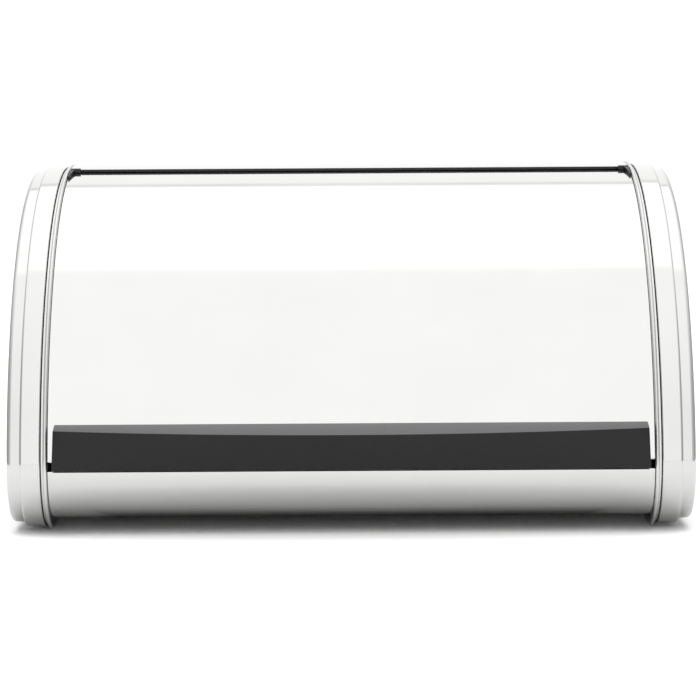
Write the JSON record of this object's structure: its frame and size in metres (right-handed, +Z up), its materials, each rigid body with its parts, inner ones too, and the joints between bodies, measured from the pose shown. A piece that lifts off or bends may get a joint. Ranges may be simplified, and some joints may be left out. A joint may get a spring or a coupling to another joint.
{
  "type": "roll-top bread bin",
  "caption": "Wide polished steel bread bin with a rolling curved lid that turns on low side pivots and tucks under the fixed top.",
  "frame": {"origin": "on the ground, in the middle of the bin's width and depth", "axes": "+Z up, the front with the handle faces -Y, X runs across the width"},
  "size_m": [0.3836, 0.3286, 0.2037],
  "materials": {
    "polished_steel": "mirror-polished stainless steel sheet",
    "galvanised_steel": "plain zinc-grey steel",
    "black_plastic": "fine-grained black moulding",
    "grey_plastic": "dark grey moulding",
    "nylon": "natural nylon",
    "rubber": "black rubber"
  },
  "bodies": {
    "bin": {"rear_shell": "polished_steel", "base_tray": "polished_steel", "end_cap_left": "polished_steel", "end_cap_right": "polished_steel", "rim_bead_left": "polished_steel", "rim_bead_right": "polished_steel", "side_liner_left": "galvanised_steel", "side_liner_right": "galvanised_steel", "edge_seal": "black_plastic", "seal_end_left": "black_plastic", "seal_end_right": "black_plastic", "pivot_pin_left": "galvanised_steel", "pivot_pin_right": "galvanised_steel", "pivot_washer_left": "nylon", "pivot_washer_right": "nylon", "lid_buffer_left": "rubber", "lid_buffer_right": "rubber", "open_stop_left": "rubber", "open_stop_right": "rubber", "back_rivet_1": "galvanised_steel", "back_rivet_2": "galvanised_steel", "back_rivet_3": "galvanised_steel", "foot_front_left": "rubber", "foot_front_right": "rubber", "foot_rear_left": "rubber", "foot_rear_right": "rubber"},
    "lid": {"lid_sheet": "polished_steel", "lid_arm_left": "grey_plastic", "lid_arm_right": "grey_plastic", "lid_handle": "black_plastic", "handle_backing": "grey_plastic", "handle_screw_1": "galvanised_steel", "handle_screw_2": "galvanised_steel", "handle_screw_3": "galvanised_steel", "handle_screw_4": "galvanised_steel"}
  },
  "joints": [
    {"name": "lid_hinge", "type": "hinge", "parent": "bin", "child": "lid", "pos_m": [0, 0.0303, 0.0177], "axis": [-1, 0, 0], "range_deg": [0, 50]}
  ]
}
